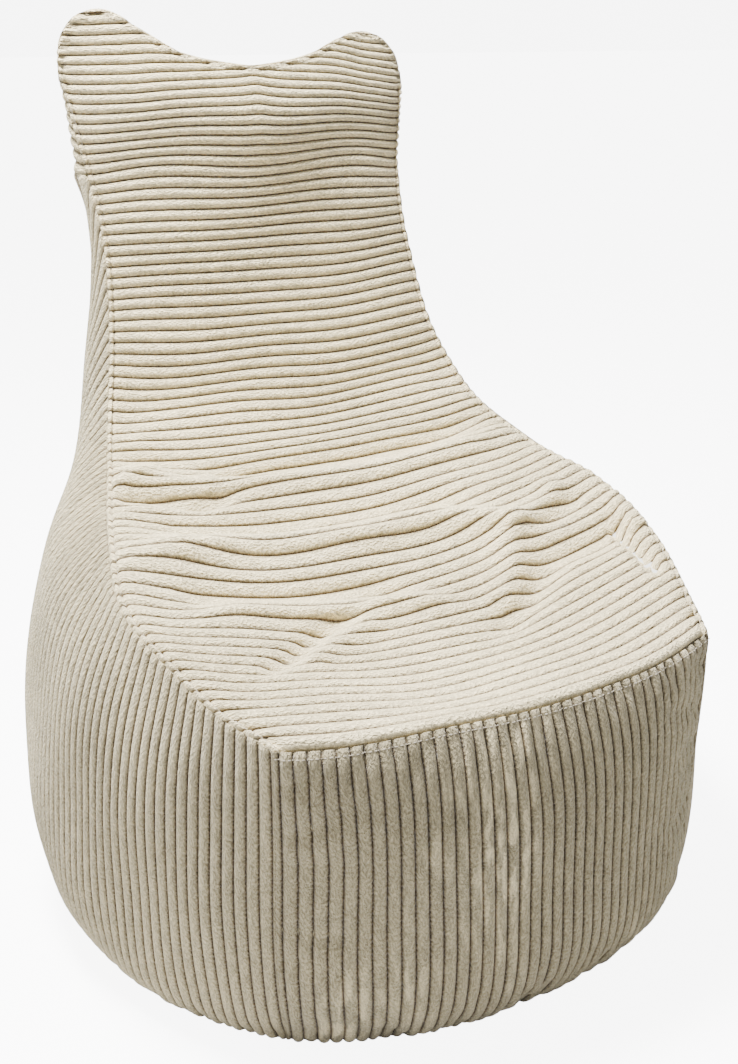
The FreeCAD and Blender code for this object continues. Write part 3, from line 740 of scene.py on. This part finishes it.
def pile_group():
    """Colour and fine relief of a brushed pile, from the place in the cloth; the cloth's third value mixes
    the crest colour towards the dark groove colour, partly ground weave and partly painted shade.
    """
    tree = cloth_group("brushed_pile", [("Crest", "Color", (0.5, 0.5, 0.5, 1)),
                                        ("Groove weave and shade", "Color", (0.1, 0.1, 0.1, 1)), ("Nap", "Float", 0.2),
                                        ("Speckle", "Float", 0.2), ("Crushed", "Float", 0.3)])
    nodes, links = tree.nodes, tree.links
    given, out = nodes.new("NodeGroupInput"), nodes.new("NodeGroupOutput")
    cloth = nodes.new("ShaderNodeAttribute")
    cloth.attribute_name = "cloth"
    split = nodes.new("ShaderNodeSeparateXYZ")
    links.new(cloth.outputs["Vector"], split.inputs[0])

    def noise(stretch, turn, scale, detail):
        place = nodes.new("ShaderNodeMapping")
        place.inputs["Scale"].default_value = stretch
        place.inputs["Rotation"].default_value = (0, 0, math.radians(turn))
        flat = nodes.new("ShaderNodeCombineXYZ")
        links.new(split.outputs["X"], flat.inputs["X"])
        links.new(split.outputs["Y"], flat.inputs["Y"])
        links.new(flat.outputs[0], place.inputs["Vector"])
        texture = nodes.new("ShaderNodeTexNoise")
        texture.inputs["Scale"].default_value = scale
        texture.inputs["Detail"].default_value = detail
        links.new(place.outputs[0], texture.inputs["Vector"])
        return texture.outputs["Fac"]

    def maths(operation, a, b, third=None):
        node = nodes.new("ShaderNodeMath")
        node.operation = operation
        for slot_number, value in enumerate((a, b, third)):
            if value is None:
                continue
            if isinstance(value, (int, float)):
                node.inputs[slot_number].default_value = value
            else:
                links.new(value, node.inputs[slot_number])
        return node.outputs[0]

    def between(value, low, high, to_low, to_high):
        node = nodes.new("ShaderNodeMapRange")
        node.interpolation_type = "SMOOTHSTEP"
        limits = {"From Min": low, "From Max": high, "To Min": to_low, "To Max": to_high}
        for socket, number in limits.items():
            node.inputs[socket].default_value = number
        links.new(value, node.inputs["Value"])
        return node.outputs["Result"]

    patches = between(noise((1, 0.5, 1), 25, 9, 3), 0.3, 0.7, -1, 1)
    strokes = between(noise((1, 0.3, 1), 38, 190, 3), 0.3, 0.7, -1, 1)
    fibres = between(noise((1, 0.45, 1), 38, 620, 2), 0.32, 0.68, -1, 1)
    crushed = between(noise((1, 0.45, 1), 0, 6.5, 2), 0.53, 0.66, 0, 1)
    crushed = maths("MULTIPLY", crushed, between(noise((1, 0.22, 1), 10, 120, 3), 0.45, 0.6, 0, 1))
    crushed = maths("MULTIPLY", crushed, given.outputs["Crushed"])
    light = maths("MULTIPLY_ADD", patches, given.outputs["Nap"], 1.0)
    light = maths("MULTIPLY_ADD", maths("MULTIPLY", strokes, 0.6), given.outputs["Speckle"], light)
    light = maths("MULTIPLY_ADD", fibres, given.outputs["Speckle"], light)
    light = maths("MULTIPLY_ADD", crushed, 0.75, light)
    # painted shade: the cloth's third value, the pile's height darkened in seams and stitch valleys, mixes
    # the groove's dark colour, partly ground weave and partly painted shade, into the crest's cream
    depth = between(split.outputs["Z"], 0.1, 0.84, 0, 1)
    mix = nodes.new("ShaderNodeMix")
    mix.data_type = "RGBA"
    links.new(depth, mix.inputs["Factor"])
    links.new(given.outputs["Groove weave and shade"], mix.inputs["A"])
    links.new(given.outputs["Crest"], mix.inputs["B"])
    scaled = nodes.new("ShaderNodeVectorMath")
    scaled.operation = "SCALE"
    links.new(mix.outputs["Result"], scaled.inputs[0])
    links.new(light, scaled.inputs["Scale"])
    links.new(scaled.outputs[0], out.inputs["Color"])
    links.new(maths("ADD", maths("MULTIPLY", strokes, 0.6), fibres), out.inputs["Height"])
    return tree


pile = pile_group()
# the groove colour is partly the ground weave and partly painted shade in the groove
CREST = (0.79, 0.675, 0.415)
GROOVE_WEAVE_AND_SHADE = (0.13, 0.088, 0.047)


def corduroy(name, nap, panel_painted_shade, crushed):
    """One panel's corduroy. nap says how uneven its brushing is, and the next value is painted
    shade: how much the whole panel's colour is darkened for how the panel faces the light, the
    front, in its own shade, darkest. crushed is how much pale pressed pile shows in patches."""
    material, nodes, links, shader = add_material(name, CREST, 0.95)
    shader.inputs["Specular IOR Level"].default_value = 0.15
    shader.inputs["Sheen Weight"].default_value = 0.35
    shader.inputs["Sheen Roughness"].default_value = 0.45
    shader.inputs["Sheen Tint"].default_value = (1, 0.95, 0.86, 1)
    group = nodes.new("ShaderNodeGroup")
    group.node_tree = pile
    # painted shade: crest and groove both darkened by the panel's painted shade value, for how the panel
    # faces the light
    group.inputs["Crest"].default_value = (*(c * panel_painted_shade for c in CREST), 1)
    group.inputs["Groove weave and shade"].default_value = (*(c * panel_painted_shade for c in GROOVE_WEAVE_AND_SHADE), 1)
    group.inputs["Nap"].default_value = nap
    group.inputs["Speckle"].default_value = 0.22
    group.inputs["Crushed"].default_value = crushed
    links.new(group.outputs["Color"], shader.inputs["Base Color"])
    add_relief(nodes, links, shader, group.outputs["Height"], 0.0010, strength=0.8)
    return material


def finish_panel(piece, node, nap, panel_painted_shade, crushed):
    """Gives a cover panel its corduroy, hangs it on the chair's body, and hides the CAD panel it stands for.
    """
    piece.data.materials.append(corduroy(piece.name + "_corduroy", nap, panel_painted_shade, crushed))
    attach(piece, "chair")
    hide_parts(node)


seat_piece, seat_outer = make_seat_back()
# in each finish_panel below, the second number is painted shade for how the panel faces the light: 1.0 on
# the seat, 0.5 on the front in its own shade
finish_panel(seat_piece, "cover_seat_back", 0.08, 1.0, 0.12)
front_piece, front_outer = make_upright("front", "front_panel", "high", 8.0)
finish_panel(front_piece, "cover_front", 0.12, 0.5, 1.5)
for side_name, side_label in (("side_left", "left_side_panel"), ("side_right", "right_side_panel")):
    finish_panel(make_upright(side_name, side_label, "")[0], "cover_" + side_name, 0.12, 0.66, 0.3)
finish_panel(make_upright("back", "back_panel", "")[0], "cover_back", 0.12, 0.8, 0.3)
finish_panel(make_head_back(), "cover_head_back", 0.1, 0.9, 0.2)


# ================================================================ topstitching
# Cotton thread, a stitch each 4.8 mm, 6.5 mm in from the seams of the seat, the backrest and the
# ears and from the front edge. The stitches lie in the valley that they pull in the pile.
STITCH_PITCH = 0.0048
STITCH_LENGTH = 0.0036
THREAD_RADIUS = 0.0006
thread, thread_nodes, thread_links, thread_shader = add_material("cotton_thread", (0.60, 0.53, 0.42), 0.8)
twist = thread_nodes.new("ShaderNodeTexWave")
twist.inputs["Scale"].default_value = 900
twist.inputs["Distortion"].default_value = 1.5
twist_place = thread_nodes.new("ShaderNodeTexCoord")
thread_links.new(twist_place.outputs["Object"], twist.inputs["Vector"])
add_relief(thread_nodes, thread_links, thread_shader, twist.outputs["Fac"], 0.0002)


def tree_with(name, sockets):
    """An empty Geometry Nodes tree with a geometry input, named inputs and a geometry output."""
    tree = bpy.data.node_groups.new(name, "GeometryNodeTree")
    tree.interface.new_socket("Geometry", in_out="INPUT", socket_type="NodeSocketGeometry")
    for socket, kind in sockets:
        tree.interface.new_socket(socket, in_out="INPUT", socket_type="NodeSocket" + kind)
    tree.interface.new_socket("Geometry", in_out="OUTPUT", socket_type="NodeSocketGeometry")
    return tree, tree.nodes.new("NodeGroupInput"), tree.nodes.new("NodeGroupOutput")


def along_line_tree():
    """Small rounded pieces set end to end along a line, such as a thread's stitches."""
    tree, given, out = tree_with("pieces_along_a_line",
                                 [("Pitch", "Float"), ("Size", "Vector"), ("Material", "Material")])
    nodes, links = tree.nodes, tree.links
    spaced = nodes.new("GeometryNodeResampleCurve")
    spaced.mode = "LENGTH"
    bead = nodes.new("GeometryNodeMeshUVSphere")
    bead.inputs["Segments"].default_value = 6
    bead.inputs["Rings"].default_value = 5
    bead.inputs["Radius"].default_value = 1.0
    tangent = nodes.new("GeometryNodeInputTangent")
    turn = nodes.new("FunctionNodeAlignRotationToVector")
    turn.axis = "X"
    placed = nodes.new("GeometryNodeInstanceOnPoints")
    real = nodes.new("GeometryNodeRealizeInstances")
    finish = nodes.new("GeometryNodeSetMaterial")
    links.new(given.outputs["Geometry"], spaced.inputs["Curve"])
    links.new(given.outputs["Pitch"], spaced.inputs["Length"])
    links.new(spaced.outputs["Curve"], placed.inputs["Points"])
    links.new(bead.outputs["Mesh"], placed.inputs["Instance"])
    links.new(tangent.outputs["Tangent"], turn.inputs["Vector"])
    links.new(turn.outputs["Rotation"], placed.inputs["Rotation"])
    links.new(given.outputs["Size"], placed.inputs["Scale"])
    links.new(placed.outputs["Instances"], real.inputs["Geometry"])
    links.new(real.outputs["Geometry"], finish.inputs["Geometry"])
    links.new(given.outputs["Material"], finish.inputs["Material"])
    links.new(finish.outputs["Geometry"], out.inputs["Geometry"])
    return tree


along_line = along_line_tree()


def pieces_along(name, lines, pitch, size, material):
    """One plain mesh of small pieces along one or more lines of points, in metres."""
    curve = bpy.data.curves.new(name + "_path", "CURVE")
    curve.dimensions = "3D"
    for points in lines:
        spline = curve.splines.new("POLY")
        spline.points.add(len(points) - 1)
        spline.points.foreach_set("co", np.c_[points, np.ones(len(points))].astype(np.float32).ravel())
    holder = bpy.data.objects.new(name + "_path", curve)
    bpy.context.scene.collection.objects.link(holder)
    modifier = holder.modifiers.new("pieces", "NODES")
    modifier.node_group = along_line
    values = {"Pitch": pitch, "Size": size, "Material": material}
    for item in along_line.interface.items_tree:
        if item.name in values:
            modifier[item.identifier] = values[item.name]
    mesh = bpy.data.meshes.new_from_object(holder.evaluated_get(bpy.context.evaluated_depsgraph_get()))
    holder.modifiers.remove(modifier)
    bpy.data.objects.remove(holder)
    piece = bpy.data.objects.new(name, mesh)
    bpy.context.scene.collection.objects.link(piece)
    piece.data.shade_smooth()
    return piece


def ear_stitch_line():
    """The line 6.5 mm under the top seam, on the front of the head."""
    shape = shapes["seat_back"]
    head = arc_lengths(grids["seat_back"][SEAT_ROWS:], 0)[-1]
    column = np.linspace(0.6, len(head) - 1.6, 400)
    height = np.interp(column, np.arange(len(head)), head)
    row = SEAT_ROWS + HEAD_ROWS * (1 - SEAM_STEPS[5] / height)
    normal = sample(grid_normals(shape, OUTWARD["seat_back"]), row[None] * FINER, column[None] * FINER)
    return (sample(shape, row[None] * FINER, column[None] * FINER) - 2.4 * normal)[0]


STITCH = SEAM_STEPS.index(6.5)
lowest_head = int(0.985 * len(seat_outer))
stitch_lines = [seat_outer[4:lowest_head, STITCH] / 1000, seat_outer[4:lowest_head, -1 - STITCH] / 1000,
                front_outer[2:-2, -1 - STITCH] / 1000, ear_stitch_line() / 1000]
stitches = pieces_along("topstitching", stitch_lines, STITCH_PITCH,
                        (STITCH_LENGTH / 2, THREAD_RADIUS, THREAD_RADIUS), thread)
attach(stitches, "chair")

# ================================================================ inner bag
# A plain woven polyester bag that holds the beads when the cover is off for washing. It
# has the cover's panels, a little smaller, and its own zip under the seat.
BAG_DEPTH = 7.0
BAG_CLOTH = 1.0
bag_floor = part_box("bag_base_front")[0].z * 1000
INNER_STEP = 2
# above the seat the bag is narrower and lower than the cover, clear of its thin rim
NARROW_FROM, NARROW_OVER = 450, 120
NARROWER = 0.075
TOP_LOWER = 20
SHARE_OF_ROOM = 0.4


def whole_cover():
    """A tree of the whole cover, to find how thick the chair is at a point."""
    points, faces = [], []
    for shape in shapes.values():
        faces += grid_faces(shape, len(points), False)
        points += shape.reshape(-1, 3).tolist()
    return bvhtree.BVHTree.FromPolygons(points, faces)


cover_tree = whole_cover()


def inner_skin(depth, floor_height):
    """The settled cover moved inwards by a depth, on a coarser grid, with a raised floor."""
    result = {}
    for name, shape in shapes.items():
        normal = grid_normals(shape, OUTWARD[name])
        for line in (np.s_[0], np.s_[-1], np.s_[:, 0], np.s_[:, -1]):
            edge = []
            for spot in shape[line]:
                near = [i for _, i, _ in seam_tree.find_range(spot, 1.5)]
                mean = seam_facing[near].mean(axis=0)
                edge.append(mean / max(np.linalg.norm(mean) ** 2, 0.4))
            normal[line] = edge
        shape = shape[::INNER_STEP, ::INNER_STEP]
        flat = shape.reshape(-1, 3)
        inward = -normal[::INNER_STEP, ::INNER_STEP].reshape(-1, 3)
        ways = inward / np.linalg.norm(inward, axis=1, keepdims=True)
        room = np.array([(cover_tree.ray_cast(p + way * 2, way)[3] or 999) if p[2] > NARROW_FROM else 999
                         for p, way in zip(flat, ways)])
        moved = flat + inward * np.minimum(depth, SHARE_OF_ROOM * room)[:, None]
        moved = moved.reshape(shape.shape)
        high = np.clip((moved[..., 2] - NARROW_FROM) / NARROW_OVER, 0, 1)
        moved[..., 0] *= 1 - NARROWER * high
        moved[..., 2] -= TOP_LOWER * np.clip((moved[..., 2] - YOKE_Z) / 150, 0, 1)
        raised = floor_height + np.maximum(moved[..., 2], 0) * (EDGE_Z - floor_height) / EDGE_Z
        moved[..., 2] = np.where(moved[..., 2] < EDGE_Z, raised, moved[..., 2])
        result[name] = moved
    for name in ("front", "side_left", "side_right", "back"):
        result[name][:, 0, 2] = floor_height
    return result


def weave_group():
    """Plain weave: colour and relief of crossing threads, on Object coordinates."""
    tree = cloth_group("plain_weave", [("Thread", "Color", (0.5, 0.5, 0.5, 1)),
                                       ("Gap", "Color", (0.1, 0.1, 0.1, 1)),
                                       ("Threads per metre", "Float", 1200.0)])
    nodes, links = tree.nodes, tree.links
    given, out = nodes.new("NodeGroupInput"), nodes.new("NodeGroupOutput")
    place = nodes.new("ShaderNodeTexCoord")
    split = nodes.new("ShaderNodeSeparateXYZ")
    links.new(place.outputs["Object"], split.inputs[0])
    waves = []
    for axis in "XY":
        scaled = nodes.new("ShaderNodeMath")
        scaled.operation = "MULTIPLY"
        links.new(split.outputs[axis], scaled.inputs[0])
        links.new(given.outputs["Threads per metre"], scaled.inputs[1])
        wave = nodes.new("ShaderNodeMath")
        wave.operation = "PINGPONG"
        wave.inputs[1].default_value = 0.5
        links.new(scaled.outputs[0], wave.inputs[0])
        waves.append(wave)
    both = nodes.new("ShaderNodeMath")
    both.operation = "ADD"
    links.new(waves[0].outputs[0], both.inputs[0])
    links.new(waves[1].outputs[0], both.inputs[1])
    mix = nodes.new("ShaderNodeMix")
    mix.data_type = "RGBA"
    links.new(both.outputs[0], mix.inputs["Factor"])
    links.new(given.outputs["Gap"], mix.inputs["A"])
    links.new(given.outputs["Thread"], mix.inputs["B"])
    links.new(mix.outputs["Result"], out.inputs["Color"])
    links.new(both.outputs[0], out.inputs["Height"])
    return tree


weave = weave_group()


def woven(name, thread_colour, gap_colour, threads, roughness):
    """A plain woven cloth; threads counts them per metre."""
    material, nodes, links, shader = add_material(name, thread_colour, roughness)
    group = nodes.new("ShaderNodeGroup")
    group.node_tree = weave
    group.inputs["Thread"].default_value = (*thread_colour, 1)
    group.inputs["Gap"].default_value = (*gap_colour, 1)
    group.inputs["Threads per metre"].default_value = threads
    links.new(group.outputs["Color"], shader.inputs["Base Color"])
    add_relief(nodes, links, shader, group.outputs["Height"], 0.0003)
    return material


bag_material = woven("bag_polyester", (0.80, 0.80, 0.78), (0.55, 0.55, 0.54), 900, 0.6)
bag_outer = inner_skin(BAG_DEPTH, bag_floor)
bag_inner = inner_skin(BAG_DEPTH + BAG_CLOTH, bag_floor)
for name, outer in bag_outer.items():
    panel = closed_cloth("inner_bag_" + name, outer, bag_inner[name], 2, 2, OUTWARD[name],
                         np.zeros_like(outer))
    panel.data.materials.append(bag_material)
    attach(panel, "chair")
    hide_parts("bag_" + name)

# ================================================================ bead fill
# About 150 litres of expanded polystyrene beads, 3 to 5 mm across; they take the shape that
# the bag and the sitter press them into.
FILL_DEPTH = 14.0
fill_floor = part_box("bead_fill")[0].z * 1000


def bead_body():
    """The fill as one closed surface: its panels welded, and the open floor filled."""
    points, faces = [], []
    for name, grid in inner_skin(FILL_DEPTH, fill_floor).items():
        faces += grid_faces(grid, len(points), OUTWARD[name] < 0)
        points += (grid.reshape(-1, 3) / 1000).tolist()
    body = add_mesh("polystyrene_beads", points, faces)
    shell = bmesh.new()
    shell.from_mesh(body.data)
    bmesh.ops.remove_doubles(shell, verts=shell.verts, dist=0.0012)
    open_edges = [e for e in shell.edges if e.is_boundary]
    filled = bmesh.ops.contextual_create(shell, geom=open_edges)
    bmesh.ops.triangulate(shell, faces=filled["faces"])
    bmesh.ops.recalc_face_normals(shell, faces=shell.faces)
    shell.to_mesh(body.data)
    shell.free()
    body.data.shade_smooth()
    return body


beads = bead_body()
bead_material, bead_nodes, bead_links, bead_shader = add_material("polystyrene", (0.88, 0.88, 0.87), 0.55)
cells = bead_nodes.new("ShaderNodeTexVoronoi")
cells.inputs["Scale"].default_value = 240
bead_place = bead_nodes.new("ShaderNodeTexCoord")
bead_links.new(bead_place.outputs["Object"], cells.inputs["Vector"])
add_relief(bead_nodes, bead_links, bead_shader, cells.outputs["Distance"], 0.002, sunk=True)
beads.data.materials.append(bead_material)
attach(beads, "chair")
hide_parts("bead_fill")

# ================================================================ base, zips and label
# The base halves are a plain cotton twill, the zip tapes woven polyester, the coils nylon
# and the sliders and end stops die-cast zinc; the slider has no puller, so that only an
# adult with a paper clip can open it.
base_material = woven("base_twill", (0.50, 0.45, 0.36), (0.22, 0.19, 0.15), 700, 0.9)
tape_material = woven("zip_tape", (0.58, 0.53, 0.44), (0.30, 0.27, 0.22), 1400, 0.8)
coil_material = woven("zip_coil", (0.62, 0.58, 0.50), (0.35, 0.32, 0.28), 700, 0.4)
label_material = woven("label_satin", (0.85, 0.84, 0.80), (0.70, 0.69, 0.66), 2500, 0.45)
zinc, zinc_nodes, zinc_links, zinc_shader = add_material("die_cast_zinc", (0.62, 0.61, 0.58), 0.35)
zinc_shader.inputs["Metallic"].default_value = 1.0
zinc_noise = zinc_nodes.new("ShaderNodeTexNoise")
zinc_noise.inputs["Scale"].default_value = 400
zinc_place = zinc_nodes.new("ShaderNodeTexCoord")
zinc_range = zinc_nodes.new("ShaderNodeMapRange")
zinc_range.inputs["To Min"].default_value = 0.25
zinc_range.inputs["To Max"].default_value = 0.5
zinc_links.new(zinc_place.outputs["Object"], zinc_noise.inputs["Vector"])
zinc_links.new(zinc_noise.outputs["Fac"], zinc_range.inputs["Value"])
zinc_links.new(zinc_range.outputs["Result"], zinc_shader.inputs["Roughness"])
FINISHES = (("cover_base", base_material), ("bag_base", bag_material), ("zip_tape", tape_material),
            ("zip_coil", coil_material), ("zip_stop", zinc), ("zip_slider", zinc),
            ("care_label", label_material))
for node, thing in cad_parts.items():
    for words, material in FINISHES:
        if words in node:
            thing.data.materials.clear()
            thing.data.materials.append(material)
